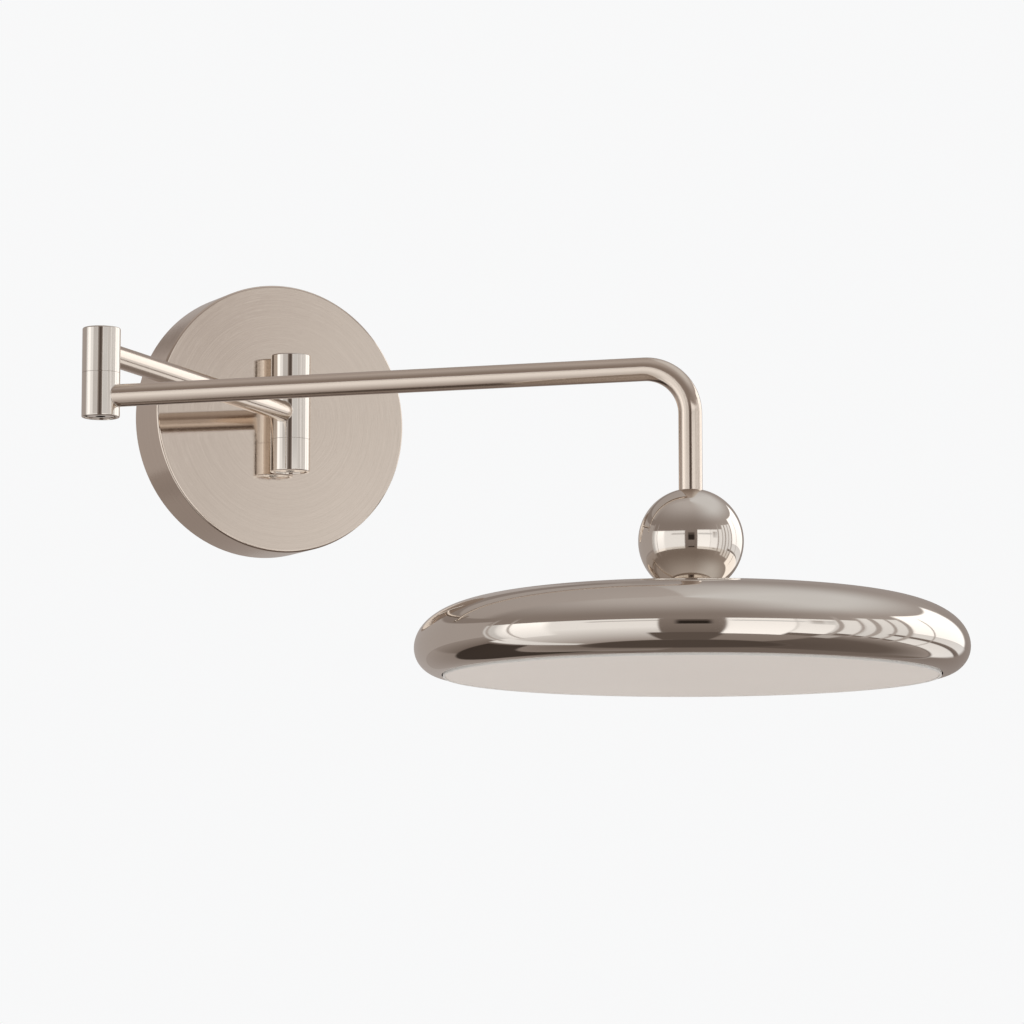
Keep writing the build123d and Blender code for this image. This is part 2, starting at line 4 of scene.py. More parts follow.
import bpy
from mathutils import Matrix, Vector


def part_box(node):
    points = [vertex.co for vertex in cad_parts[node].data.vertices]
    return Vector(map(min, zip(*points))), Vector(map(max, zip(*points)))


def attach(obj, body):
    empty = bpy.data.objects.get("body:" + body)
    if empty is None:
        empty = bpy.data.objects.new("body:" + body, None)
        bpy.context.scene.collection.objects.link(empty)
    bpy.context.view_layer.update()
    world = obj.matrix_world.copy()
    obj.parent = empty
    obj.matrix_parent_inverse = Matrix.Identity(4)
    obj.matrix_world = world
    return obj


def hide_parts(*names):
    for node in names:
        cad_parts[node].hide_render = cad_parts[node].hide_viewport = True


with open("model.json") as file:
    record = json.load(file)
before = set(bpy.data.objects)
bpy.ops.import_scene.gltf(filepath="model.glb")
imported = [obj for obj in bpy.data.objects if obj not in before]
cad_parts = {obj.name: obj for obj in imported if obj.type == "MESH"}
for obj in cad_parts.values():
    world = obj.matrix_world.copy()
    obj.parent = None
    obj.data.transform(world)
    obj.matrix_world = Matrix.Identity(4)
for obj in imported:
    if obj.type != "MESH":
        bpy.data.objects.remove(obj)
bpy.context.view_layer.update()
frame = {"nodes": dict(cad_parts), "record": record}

# Looks of the swing arm wall light. Metres, in the CAD's frame: +Z up, the wall is y = 0 and
# the room is on -Y. Sizes come from the frame's boxes, and small finishing sizes are named here.

MM = 0.001


# ---- Sizes read from the frame ----------------------------------------------------------


def centre(node):
    low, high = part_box(node)
    return (low + high) / 2


def axis_of(node):
    middle = centre(node)
    return Vector((middle.x, middle.y, 0))


def radius_of(node):
    low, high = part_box(node)
    return (high.x - low.x) / 2


def heights(node):
    low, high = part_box(node)
    return low.z, high.z


WALL_AXIS = axis_of("wall_sleeve")
ELBOW_AXIS = axis_of("elbow_barrel_upper")
HEAD_AXIS = axis_of("ball_shell")
WALL_KNUCKLE_R = radius_of("wall_sleeve")
ELBOW_R = radius_of("elbow_barrel_upper")
CANOPY_R = radius_of("canopy_cover")
CANOPY_FACE_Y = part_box("canopy_cover")[0].y
BALL_R = radius_of("ball_shell")
SHADE_R = radius_of("shade_shell")
SHORT_ARM_LOW, SHORT_ARM_HIGH = heights("short_arm_tube")
TUBE_R = (SHORT_ARM_HIGH - SHORT_ARM_LOW) / 2
TUBE_WALL = 1.0 * MM
SHORT_ARM_Z = (SHORT_ARM_LOW + SHORT_ARM_HIGH) / 2
LONG_ARM_TOP_Z = heights("long_arm_tube")[1]
LONG_ARM_Z = LONG_ARM_TOP_Z - TUBE_R
DROP_END_Z = heights("long_arm_tube")[0]
BEND_R = 19.0 * MM

# The shade's outline: a superellipse down to the rim, and a quarter ellipse in to the lip
SHADE_RIM_Z = -130.9 * MM
SHADE_POWER = 6.0
SHADE_LOW, SHADE_HIGH = heights("shade_shell")
RING_FIT = 0.1 * MM
SHADE_LIP_R = radius_of("diffuser_ring") + RING_FIT
SHADE_WALL = 1.2 * MM
BALL_Z = -88.1 * MM
BALL_WALL = 2.0 * MM


# ---- Mesh helpers ------------------------------------------------------------------------

FINE_TURN = 192       # corners round a turned piece, unless it says otherwise
BARREL_TURN = 128
SHADE_TURN = 320
TUBE_TURN = 64
SHARP_ANGLE = radians(28)
PIN_R = 0.02 * MM     # the point left open in the middle of a turned end


def add_mesh(name, points, faces, uvs, body, slot, *nodes):
    mesh = bpy.data.meshes.new(name)
    mesh.from_pydata(points, [], faces)
    layer = mesh.uv_layers.new(name="along")
    for polygon in mesh.polygons:
        for corner, uv in zip(polygon.loop_indices, uvs[polygon.index]):
            layer.data[corner].uv = uv
    mesh.polygons.foreach_set("use_smooth", [True] * len(mesh.polygons))
    mesh.set_sharp_from_angle(angle=SHARP_ANGLE)
    piece = bpy.data.objects.new(name, mesh)
    bpy.context.scene.collection.objects.link(piece)
    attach(piece, body)
    if nodes:
        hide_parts(*nodes)
    return piece


def grid_faces(rows, columns, lengths, closed_rows=False):
    """Faces and texture corners of a grid that closes round its columns.

    Across is 0 to 1 round the column direction, and lengths gives each row's distance along.
    """
    faces = []
    uvs = []
    for i in range(rows if closed_rows else rows - 1):
        following = (i + 1) % rows
        for j in range(columns):
            k = (j + 1) % columns
            near = i * columns
            far = following * columns
            faces.append((near + j, near + k, far + k, far + j))
            left = j / columns
            right = (j + 1) / columns
            start = lengths[i]
            end = lengths[i + 1]
            uvs.append(((left, start), (right, start), (right, end), (left, end)))
    return faces, uvs


LONG_STRETCH = 3.0 * MM
EDGE_HOLD = 0.05 * MM


def hold_edges(outline):
    """Adds a point just inside each end of a long straight stretch, so that it shades flat."""
    held = []
    for here, following in zip(outline, outline[1:] + outline[:1]):
        held.append(here)
        length = hypot(following[0] - here[0], following[1] - here[1])
        if length > LONG_STRETCH:
            for part in (EDGE_HOLD / length, 1 - EDGE_HOLD / length):
                held.append(tuple(a + (b - a) * part for a, b in zip(here, following)))
    return held


def lathe(name, outline, axis, body, slot, *nodes, turn_axis="z", segments=FINE_TURN):
    """Turns a closed half outline of (radius, height) points round a vertical or a y axis."""
    outline = hold_edges(outline)
    lengths = [0.0]
    for i in range(len(outline)):
        here = outline[i]
        following = outline[(i + 1) % len(outline)]
        lengths.append(lengths[-1] + hypot(following[0] - here[0], following[1] - here[1]))
    points = []
    for radius, height in outline:
        for j in range(segments):
            angle = 2 * pi * j / segments
            across = radius * cos(angle)
            beside = radius * sin(angle)
            if turn_axis == "z":
                points.append((axis.x + across, axis.y + beside, height))
            else:
                points.append((axis.x + across, height, axis.z - beside))
    faces, uvs = grid_faces(len(outline), segments, lengths, closed_rows=True)
    return add_mesh(name, points, faces, uvs, body, slot, *nodes)


def arc(centre_r, centre_z, radius, start, end, steps):
    """Points of an arc in an outline, from one angle to another, in radians."""
    turns = [start + (end - start) * i / steps for i in range(steps + 1)]
    return [(centre_r + radius * cos(t), centre_z + radius * sin(t)) for t in turns]


def pipe(name, path, outer, inner, body, slot, *nodes, segments=TUBE_TURN):
    """A hollow tube along a path of (point, direction, side) rows, with plain ends."""
    rows = []
    lengths = []
    travelled = 0.0
    for radius, stations in ((outer, path), (inner, path[::-1])):
        for index, (point, direction, side) in enumerate(stations):
            up = direction.cross(side)
            ring = [
                point + (side * cos(2 * pi * j / segments) + up * sin(2 * pi * j / segments)) * radius
                for j in range(segments)
            ]
            rows.append(ring)
            if index:
                travelled += (point - stations[index - 1][0]).length
            lengths.append(travelled)
    lengths.append(travelled)
    points = [tuple(p) for ring in rows for p in ring]
    faces, uvs = grid_faces(len(rows), segments, lengths, closed_rows=True)
    return add_mesh(name, points, faces, uvs, body, slot, *nodes)


# ---- Material helpers --------------------------------------------------------------------


class Look:
    """A node material under construction."""

    def __init__(self, name, color, metallic, roughness):
        self.material = bpy.data.materials.new(name)
        self.material.use_nodes = True
        self.tree = self.material.node_tree
        self.shader = self.tree.nodes["Principled BSDF"]
        self.shader.inputs["Base Color"].default_value = (*color, 1)
        self.shader.inputs["Metallic"].default_value = metallic
        self.shader.inputs["Roughness"].default_value = roughness

    def node(self, kind, settings=None, **inputs):
        made = self.tree.nodes.new(kind)
        for key, value in (settings or {}).items():
            setattr(made, key, value)
        for key, value in inputs.items():
            socket = made.inputs[key.replace("_", " ")]
            if isinstance(value, bpy.types.NodeSocket):
                self.tree.links.new(value, socket)
            else:
                socket.default_value = value
        return made

    def place(self, source, scale=(1, 1, 1)):
        """Texture coordinates, as Object or UV, stretched by a scale."""
        coordinates = self.node("ShaderNodeTexCoord").outputs[source]
        return self.node("ShaderNodeMapping", Vector=coordinates, Scale=scale).outputs[0]

    def noise(self, vector, scale, detail=3.0, roughness=0.55):
        made = self.node(
            "ShaderNodeTexNoise", Vector=vector, Scale=scale, Detail=detail, Roughness=roughness
        )
        return made.outputs[0]

    def span(self, value, low, high, to_low, to_high):
        made = self.node("ShaderNodeMapRange", Value=value)
        ends = (("From Min", low), ("From Max", high), ("To Min", to_low), ("To Max", to_high))
        for key, number in ends:
            made.inputs[key].default_value = number
        return made.outputs[0]

    def add(self, first, second, operation="ADD"):
        made = self.node("ShaderNodeMath", {"operation": operation})
        for socket, value in zip(made.inputs, (first, second)):
            if isinstance(value, bpy.types.NodeSocket):
                self.tree.links.new(value, socket)
            else:
                socket.default_value = value
        return made.outputs[0]

    def tint(self, factor, first, second):
        made = self.node("ShaderNodeMix", {"data_type": "RGBA"})
        self.tree.links.new(factor, made.inputs[0])
        made.inputs[6].default_value = (*first, 1)
        made.inputs[7].default_value = (*second, 1)
        return made.outputs[2]

    def bump(self, height, strength, distance):
        made = self.node("ShaderNodeBump", Height=height, Strength=strength, Distance=distance)
        self.set("Normal", made.outputs[0])

    def set(self, socket, value):
        if isinstance(value, bpy.types.NodeSocket):
            self.tree.links.new(value, self.shader.inputs[socket])
        else:
            self.shader.inputs[socket].default_value = value


def shaded(color, amount):
    return tuple(channel * amount for channel in color)


NICKEL = (0.790, 0.735, 0.675)
NICKEL_SATIN = (0.750, 0.657, 0.573)


def polished(name, color=NICKEL, low=0.03, high=0.075):
    """Polished plate: handling haze, faint wiping marks and a trace of waviness."""
    look = Look(name, color, 1.0, low)
    haze = look.noise(look.place("Object"), scale=38.0, detail=4.0)
    wipes = look.noise(look.place("Object", (1.0, 1.0, 0.15)), scale=420.0, detail=2.0)
    rough = look.add(look.span(haze, 0.35, 0.7, low, high), look.span(wipes, 0.62, 0.8, 0.0, 0.03))
    look.set("Roughness", rough)
    look.set("Base Color", look.tint(haze, shaded(color, 0.96), shaded(color, 1.01)))
    waves = look.noise(look.place("Object"), scale=90.0, detail=1.0)
    look.bump(waves, strength=0.05, distance=0.05 * MM)
    return look.material


def brushed(name, across, along, cut, low, high, color=NICKEL_SATIN):
    """Brushed plate, whose fine scratches smear what it mirrors across the grain.

    across and along are the grain's counts over the piece's own coordinates, and cut is how deep
    the scratches are, in metres.
    """
    look = Look(name, color, 1.0, low)
    grain = look.noise(look.place("UV", (across, along, 1.0)), 1.0, detail=4.0, roughness=0.75)
    coarser = (across * 0.3, along * 0.3, 1.0)
    broad = look.noise(look.place("UV", coarser), 1.0, detail=4.0, roughness=0.7)
    haze = look.noise(look.place("Object"), scale=22.0, detail=3.0)
    look.set("Roughness", look.span(look.add(haze, broad), 0.7, 1.3, low, high))
    streaks = look.span(look.add(grain, broad), 0.6, 1.4, 0.0, 1.0)
    look.set("Base Color", look.tint(streaks, shaded(color, 0.95), shaded(color, 1.05)))
    look.bump(grain, strength=1.0, distance=cut)
    return look.material


def turned_metal(name, color, low, high, scale):
    """Machined or plated steel with a fine grain and a little staining."""
    look = Look(name, color, 1.0, low)
    stain = look.noise(look.place("Object"), scale, detail=4.0)
    grain = look.noise(look.place("Object", (1.0, 1.0, 14.0)), scale * 9, detail=3.0)
    look.set(
        "Roughness",
        look.add(look.span(stain, 0.3, 0.7, low, high), look.span(grain, 0.3, 0.7, -0.03, 0.05)),
    )
    look.set("Base Color", look.tint(stain, shaded(color, 0.85), color))
    look.bump(grain, strength=0.15, distance=0.08 * MM)
    return look.material


def moulded(name, color, roughness, speckle=900.0, relief=0.04 * MM):
    """Moulded plastic or resin with a fine spark texture and a faint shade drift."""
    look = Look(name, color, 0.0, roughness)
    drift = look.noise(look.place("Object"), scale=16.0, detail=3.0)
    spark = look.noise(look.place("Object"), speckle, detail=2.0)
    look.set("Base Color", look.tint(drift, shaded(color, 0.955), color))
    look.set("Roughness", look.span(spark, 0.3, 0.7, roughness - 0.05, roughness + 0.08))
    look.bump(spark, strength=0.25, distance=relief)
    return look.material


# ---- Materials by the record's slots -------------------------------------------------------

LOOKS = {
    "polished_nickel": polished("polished_nickel_plate"),
    "brushed_nickel": brushed("brushed_nickel_arm", 220.0, 40.0, 0.008 * MM, 0.10, 0.17),
    "zinc_steel": turned_metal("zinc_plated_steel", (0.62, 0.64, 0.66), 0.26, 0.42, 60.0),
    "spindle_steel": turned_metal("turned_spindle_steel", (0.56, 0.56, 0.56), 0.20, 0.34, 90.0),
    "washer_nylon": moulded("natural_nylon", (0.80, 0.78, 0.72), 0.45),
    "driver_plastic": moulded("driver_housing", (0.78, 0.78, 0.77), 0.42, 700.0, 0.1 * MM),
    "terminal_plastic": moulded("terminal_housing", (0.045, 0.046, 0.05), 0.38, 800.0, 0.08 * MM),
    "brass_screws": turned_metal("plain_brass", (0.72, 0.53, 0.24), 0.22, 0.38, 110.0),
    "wire_jacket": moulded("wire_jacket", (0.72, 0.71, 0.68), 0.5),
    "heat_sink_aluminium": turned_metal("turned_aluminium", (0.72, 0.73, 0.74), 0.25, 0.4, 70.0),
    "board_white": moulded("white_board", (0.85, 0.85, 0.83), 0.35),
    "led_phosphor": moulded("led_phosphor", (0.86, 0.66, 0.16), 0.25),
    "reflector_white": moulded("white_reflector", (0.88, 0.88, 0.87), 0.5),
    "pale_bezel": moulded("pale_bezel", (0.80, 0.765, 0.725), 0.36),
}


def opal_look():
    """Satin opal sheet: milky depth, a fine etched surface and a very slight drift in tone."""
    color = (0.850, 0.775, 0.710)
    look = Look("opal_acrylic", color, 0.0, 0.42)
    drift = look.noise(look.place("Object"), scale=9.0, detail=4.0)
    etch = look.noise(look.place("Object"), scale=1500.0, detail=2.0)
    look.set("Base Color", look.tint(drift, shaded(color, 0.97), shaded(color, 1.03)))
    look.set("Roughness", look.span(etch, 0.3, 0.7, 0.36, 0.5))
    look.set("Subsurface Weight", 0.12)
    look.set("Subsurface Radius", (0.003, 0.003, 0.003))
    look.set("IOR", 1.49)
    look.bump(etch, strength=0.12, distance=0.03 * MM)
    return look.material


LOOKS["opal_diffuser"] = opal_look()
CANOPY_LOOK = brushed("spun_nickel_canopy", 4.0, 2400.0, 0.014 * MM, 0.04, 0.08)

slot_of = {row["node"]: row["material_slot"] for row in frame["record"]["subparts"]}
for node, piece in frame["nodes"].items():
    piece.data.materials.clear()
    piece.data.materials.append(LOOKS[slot_of[node]])


def dress(piece, look):
    """Gives a piece its one material."""
    piece.data.materials.append(look)


# ---- Canopy ----------------------------------------------------------------------------------


CANOPY_WALL = 1.5 * MM
CANOPY_EDGE = 1.0 * MM
CANOPY_EDGE_STEPS = 8
CANOPY_FACE_RINGS = 12
CANOPY_BACK_EASE = (0.3 * MM, 0.4 * MM)    # in radius, and along the drum


def quarter(steps):
    """Angles from 0 to a quarter turn."""
    return [pi / 2 * i / steps for i in range(steps + 1)]


def canopy():
    """The drum: a flat face with a rounded edge, open at the wall."""
    wall, edge, face = CANOPY_WALL, CANOPY_EDGE, CANOPY_FACE_Y
    inward, forward = CANOPY_BACK_EASE
    centre_r = CANOPY_R - edge
    rings = range(1, CANOPY_FACE_RINGS)
    turns = quarter(CANOPY_EDGE_STEPS)
    outline = [(PIN_R, face)]
    outline += [(centre_r * i / CANOPY_FACE_RINGS, face) for i in rings]
    outline += [(centre_r + edge * sin(t), face + edge * (1 - cos(t))) for t in turns]
    outline += [(CANOPY_R, -forward), (CANOPY_R - inward, 0.0), (CANOPY_R - wall, 0.0)]
    outline += [(CANOPY_R - wall, face + wall + edge), (CANOPY_R - wall - edge, face + wall)]
    outline += [(PIN_R, face + wall)]
    axis = Vector((0, 0, 0))
    drum = lathe(
        "canopy_drum", outline, axis, "wall_mount", "brushed_nickel", "canopy_cover", turn_axis="y"
    )
    dress(drum, CANOPY_LOOK)


canopy()


# ---- Knuckles ---------------------------------------------------------------------------------


SEAM_EASE = 0.05 * MM
SEAM_CLOSE = 0.07 * MM
END_EASE = 0.55 * MM
EDGE_STEPS = 5
SEAM_STEPS = 3
DISH_LIP = 0.2 * MM
SPINDLE_PLAY = 0.05 * MM
WALL_DISH_RIM = 1.5 * MM
WALL_DISH_DEPTH = 0.5 * MM
ELBOW_DISH_R = 6.8 * MM
ELBOW_DISH_DEPTH = 0.35 * MM
ELBOW_SEAT_R = 6.3 * MM
ELBOW_SEAT_DEPTH = 3.9 * MM


def lower_edge(radius, ease, low):
    """Points of a rounded lower edge, after its first point."""
    turns = quarter(EDGE_STEPS)[1:]
    return [(radius - ease * (1 - sin(t)), low + ease * (1 - cos(t))) for t in turns]


def upper_edge(radius, ease, high, steps):
    turns = quarter(steps)
    return [(radius - ease * (1 - cos(t)), high - ease * (1 - sin(t))) for t in turns]


def barrel(name, node, body, axis, radius, top_ease, bottom_ease, bore):
    """A turned barrel section with its end edges eased by the sizes given.

    An end with a seam's small easing reaches a little into the gap, so that the seam is a hairline.
    """
    low, high = heights(node)
    low -= SEAM_CLOSE if bottom_ease == SEAM_EASE else 0
    high += SEAM_CLOSE if top_ease == SEAM_EASE else 0
    outline = [(bore, low), (radius - bottom_ease, low)]
    outline += lower_edge(radius, bottom_ease, low)
    outline += upper_edge(radius, top_ease, high, EDGE_STEPS)
    outline += [(bore, high)]
    piece = lathe(name, outline, axis, body, "polished_nickel", node, segments=BARREL_TURN)
    dress(piece, LOOKS["polished_nickel"])


def dished_barrel(name, node, body, axis, radius, dish, bore, seat=None):
    """A bottom barrel section with a shallow dish turned in its end, and a deeper seat if given.

    The dish and the seat are each a radius and a depth.
    """
    low, high = heights(node)
    high += SEAM_CLOSE
    dish_r, dish_depth = dish
    seat_r, seat_depth = seat or dish
    outline = [(bore, low + seat_depth)]
    if seat:
        outline += [(seat_r, low + seat_depth), (seat_r, low + dish_depth)]
    outline += [(dish_r, low + dish_depth), (dish_r, low + DISH_LIP)]
    outline += [(dish_r + DISH_LIP, low), (radius - END_EASE, low)]
    outline += lower_edge(radius, END_EASE, low)
    outline += upper_edge(radius, SEAM_EASE, high, SEAM_STEPS)
    outline += [(bore, high)]
    piece = lathe(name, outline, axis, body, "polished_nickel", node, segments=BARREL_TURN)
    dress(piece, LOOKS["polished_nickel"])


def knuckles():
    """The wall knuckle's three sections and the elbow's two."""
    wall_bore = radius_of("wall_spindle") + SPINDLE_PLAY
    elbow_bore = radius_of("elbow_spindle") + SPINDLE_PLAY
    barrel(
        "wall_barrel_upper_skin", "wall_barrel_top", "wall_mount",
        WALL_AXIS, WALL_KNUCKLE_R, END_EASE, SEAM_EASE, PIN_R,
    )
    barrel(
        "wall_sleeve_skin", "wall_sleeve", "short_arm",
        WALL_AXIS, WALL_KNUCKLE_R, SEAM_EASE, SEAM_EASE, wall_bore,
    )
    dished_barrel(
        "wall_barrel_lower_skin", "wall_barrel_bottom", "wall_mount",
        WALL_AXIS, WALL_KNUCKLE_R, (WALL_KNUCKLE_R - WALL_DISH_RIM, WALL_DISH_DEPTH), wall_bore,
    )
    barrel(
        "elbow_upper_skin", "elbow_barrel_upper", "short_arm",
        ELBOW_AXIS, ELBOW_R, END_EASE, SEAM_EASE, PIN_R,
    )
    dished_barrel(
        "elbow_lower_skin", "elbow_barrel_lower", "long_arm",
        ELBOW_AXIS, ELBOW_R, (ELBOW_DISH_R, ELBOW_DISH_DEPTH), elbow_bore,
        seat=(ELBOW_SEAT_R, ELBOW_SEAT_DEPTH),
    )


knuckles()


# ---- Arms ----------------------------------------------------------------------------------------


WALL_COPE = 0.82      # where each tube's mesh starts, as a part of the barrel's radius
ELBOW_COPE = 0.78
SHORT_ARM_STEPS = 24
LONG_ARM_STEPS = 32
BEND_STEPS = 28
DROP_STEPS = 8


def straight(start, end, steps):
    """Stations of a level straight run, as a pipe's path."""
    direction = (end - start).normalized()
    side = Vector((0, 0, 1))
    return [(start.lerp(end, i / steps), direction, side) for i in range(steps + 1)]


def arms():
    """The straight short arm, and the long arm with its bend and drop."""
    lift = Vector((0, 0, SHORT_ARM_Z))
    along = (ELBOW_AXIS - WALL_AXIS).normalized()
    start = WALL_AXIS + lift + along * WALL_KNUCKLE_R * WALL_COPE
    end = ELBOW_AXIS + lift - along * ELBOW_R * ELBOW_COPE
    short = pipe(
        "short_arm_skin", straight(start, end, SHORT_ARM_STEPS), TUBE_R, TUBE_R - TUBE_WALL,
        "short_arm", "brushed_nickel", "short_arm_tube",
    )
    dress(short, LOOKS["brushed_nickel"])

    lift = Vector((0, 0, LONG_ARM_Z))
    along = (HEAD_AXIS - ELBOW_AXIS).normalized()
    start = ELBOW_AXIS + lift + along * ELBOW_R * ELBOW_COPE
    bend_start = HEAD_AXIS + lift - along * BEND_R
    path = straight(start, bend_start, LONG_ARM_STEPS)
    bend_centre = bend_start - Vector((0, 0, BEND_R))
    for turn in quarter(BEND_STEPS)[1:]:
        outward = Vector((0, 0, cos(turn))) + along * sin(turn)
        direction = along * cos(turn) - Vector((0, 0, sin(turn)))
        path.append((bend_centre + outward * BEND_R, direction, outward))
    drop_start = path[-1][0]
    drop_end = Vector((HEAD_AXIS.x, HEAD_AXIS.y, DROP_END_Z))
    for i in range(1, DROP_STEPS + 1):
        path.append((drop_start.lerp(drop_end, i / DROP_STEPS), Vector((0, 0, -1)), along))
    long = pipe(
        "long_arm_skin", path, TUBE_R, TUBE_R - TUBE_WALL,
        "long_arm", "brushed_nickel", "long_arm_tube",
    )
    dress(long, LOOKS["brushed_nickel"])


arms()


BEAD_R = 0.24 * MM
BEAD_STATIONS = 96
BEAD_CORNERS = 12


def cope_bead(name, axis, toward, height, barrel_r, body):
    """The fine brazed bead where a tube's coped end meets a barrel."""
    rows, columns = BEAD_STATIONS, BEAD_CORNERS
    beside = Vector((0, 0, 1)).cross(toward)
    line = []
    for i in range(rows):
        turn = 2 * pi * i / rows
        across = TUBE_R * cos(turn)
        reach = sqrt(barrel_r**2 - across**2)
        level = Vector((0, 0, height + TUBE_R * sin(turn)))
        line.append(axis + level + beside * across + toward * reach)
    points = []
    lengths = [0.0]
    for i in range(rows):
        here = line[i]
        ahead = (line[(i + 1) % rows] - line[i - 1]).normalized()
        outward = (here - axis - Vector((0, 0, here.z))).normalized()
        outward = (outward - ahead * outward.dot(ahead)).normalized()
        other = ahead.cross(outward)
        for j in range(columns):
            turn = 2 * pi * j / columns
            points.append(tuple(here + (outward * cos(turn) + other * sin(turn)) * BEAD_R))
        lengths.append(lengths[-1] + (line[(i + 1) % rows] - here).length)
    faces, uvs = grid_faces(rows, columns, lengths, closed_rows=True)
    piece = add_mesh(name, points, faces, uvs, body, "polished_nickel")
    dress(piece, LOOKS["polished_nickel"])


short_along = (ELBOW_AXIS - WALL_AXIS).normalized()
long_along = (HEAD_AXIS - ELBOW_AXIS).normalized()
cope_bead("short_arm_wall_bead", WALL_AXIS, short_along, SHORT_ARM_Z, WALL_KNUCKLE_R, "short_arm")
cope_bead("short_arm_elbow_bead", ELBOW_AXIS, -short_along, SHORT_ARM_Z, ELBOW_R, "short_arm")
cope_bead("long_arm_elbow_bead", ELBOW_AXIS, long_along, LONG_ARM_Z, ELBOW_R, "long_arm")


# ---- Ball and shade ---------------------------------------------------------------------------------


NIPPLE_HOLE_R = 4.0 * MM
DROP_PLAY = 0.25 * MM
BALL_LIP = 0.25 * MM
BALL_STEPS = 96
BALL_INNER_STEPS = 32
BALL_FLOOR = 0.97     # how far down the inside goes, as a part of the outside's turn
SHADE_STEPS = 150
SHADE_INNER_STEPS = 60
SKIRT_STEPS = 36


def ball():
    """A hollow ball with a hole for the drop at its top, and a flat on its bottom."""
    low = heights("ball_shell")[0]
    hole_r = TUBE_R + DROP_PLAY
    top = acos((hole_r + BALL_LIP) / BALL_R)
    bottom = -acos(sqrt(BALL_R**2 - (BALL_Z - low) ** 2) / BALL_R)
    outline = arc(0, BALL_Z, BALL_R, bottom, top, BALL_STEPS)
    inner_r = BALL_R - BALL_WALL
    inner_top = acos(hole_r / inner_r)
    inner_bottom = bottom * BALL_FLOOR
    outline += [(hole_r, BALL_Z + BALL_R * sin(top) - BALL_LIP)]
    outline += [(hole_r, BALL_Z + inner_r * sin(inner_top))]
    outline += arc(0, BALL_Z, inner_r, inner_top, inner_bottom, BALL_INNER_STEPS)[1:]
    outline += [(NIPPLE_HOLE_R, BALL_Z + inner_r * sin(inner_bottom)), (NIPPLE_HOLE_R, low)]
    skin = lathe("ball_skin", outline, HEAD_AXIS, "lamp_head", "polished_nickel", "ball_shell")
    dress(skin, LOOKS["polished_nickel"])


def shade_outline(inset, steps):
    """The shade's outline from its middle to the lip, moved inward by inset."""
    radius = SHADE_R - inset
    rise = SHADE_HIGH - SHADE_RIM_Z - inset
    points = []
    for i in range(steps):
        part = max(sin(pi / 2 * i / steps), NIPPLE_HOLE_R / radius)
        points.append((radius * part, SHADE_RIM_Z + rise * sqrt(1 - part**SHADE_POWER)))
    width = SHADE_R - SHADE_LIP_R - inset
    drop = SHADE_RIM_Z - SHADE_LOW - inset
    turns = quarter(SKIRT_STEPS)
    points += [(SHADE_LIP_R + width * cos(t), SHADE_RIM_Z - drop * sin(t)) for t in turns]
    return points[1:]


def shade():
    outline = shade_outline(0.0, SHADE_STEPS)
    outline += shade_outline(SHADE_WALL, SHADE_INNER_STEPS)[::-1]
    skin = lathe(
        "shade_skin", outline, HEAD_AXIS, "lamp_head", "polished_nickel", "shade_shell",
        segments=SHADE_TURN,
    )
    dress(skin, LOOKS["polished_nickel"])


ball()
shade()


# ---- Camera ----------------------------------------------------------------------------------------

CAMERA_AT = Vector((-0.7596, -1.7145, -0.2763))
CAMERA_YAW = 0.48045
CAMERA_PITCH = 0.12517
CAMERA_LENS = 141.5
CAMERA_SENSOR = 36.0
CAMERA_CLIP = (0.01, 50.0)

camera_data = bpy.data.cameras.new("camera")
camera_data.lens = CAMERA_LENS
camera_data.sensor_width = CAMERA_SENSOR
camera = bpy.data.objects.new("camera", camera_data)
bpy.context.scene.collection.objects.link(camera)
camera.location = CAMERA_AT
look_along = Vector((
    sin(CAMERA_YAW) * cos(CAMERA_PITCH),
    cos(CAMERA_YAW) * cos(CAMERA_PITCH),
    sin(CAMERA_PITCH),
))
camera.rotation_mode = "QUATERNION"
camera.rotation_quaternion = look_along.to_track_quat("-Z", "Y")
camera_data.clip_start, camera_data.clip_end = CAMERA_CLIP
bpy.context.scene.camera = camera


# ---- Floor, studio light and the room that the metal reflects ---------------------------------------

BACKDROP = (0.940, 0.942, 0.945)
FLOOR_Z = -2.2
FLOOR_REACH = 14.0
DOME_R = 8.0
DOME_ROWS = 24
DOME_COLUMNS = 48
DOME_POLE = 0.999     # stops just short of the poles, so that its columns don't meet in a point


def floor():
    """A plain pale floor, below every view of the light."""
    corners = ((-1, -1), (1, -1), (1, 1), (-1, 1))
    points = [(x * FLOOR_REACH, y * FLOOR_REACH, FLOOR_Z) for x, y in corners]
    mesh = bpy.data.meshes.new("floor")
    mesh.from_pydata(points, [], [(0, 1, 2, 3)])
    piece = bpy.data.objects.new("floor", mesh)
    bpy.context.scene.collection.objects.link(piece)
    piece.visible_glossy = False
    mesh.materials.append(moulded("pale_floor", (0.86, 0.86, 0.86), 0.8, 40.0, 0.5 * MM))


def backdrop():
    world = bpy.data.worlds.new("studio")
    bpy.context.scene.world = world
    world.use_nodes = True
    world.node_tree.nodes["Background"].inputs["Color"].default_value = (*BACKDROP, 1)
    world.node_tree.nodes["Background"].inputs["Strength"].default_value = 1.0
    world.cycles_visibility.glossy = False


def soft_light(name, at, size, power):
    data = bpy.data.lights.new(name, "AREA")
    data.shape = "DISK"
    data.size = size
    data.energy = power
    light = bpy.data.objects.new(name, data)
    bpy.context.scene.collection.objects.link(light)
    light.location = at
    light.rotation_mode = "QUATERNION"
    light.rotation_quaternion = (centre("shade_shell") - Vector(at)).to_track_quat("-Z", "Y")
    light.visible_glossy = False


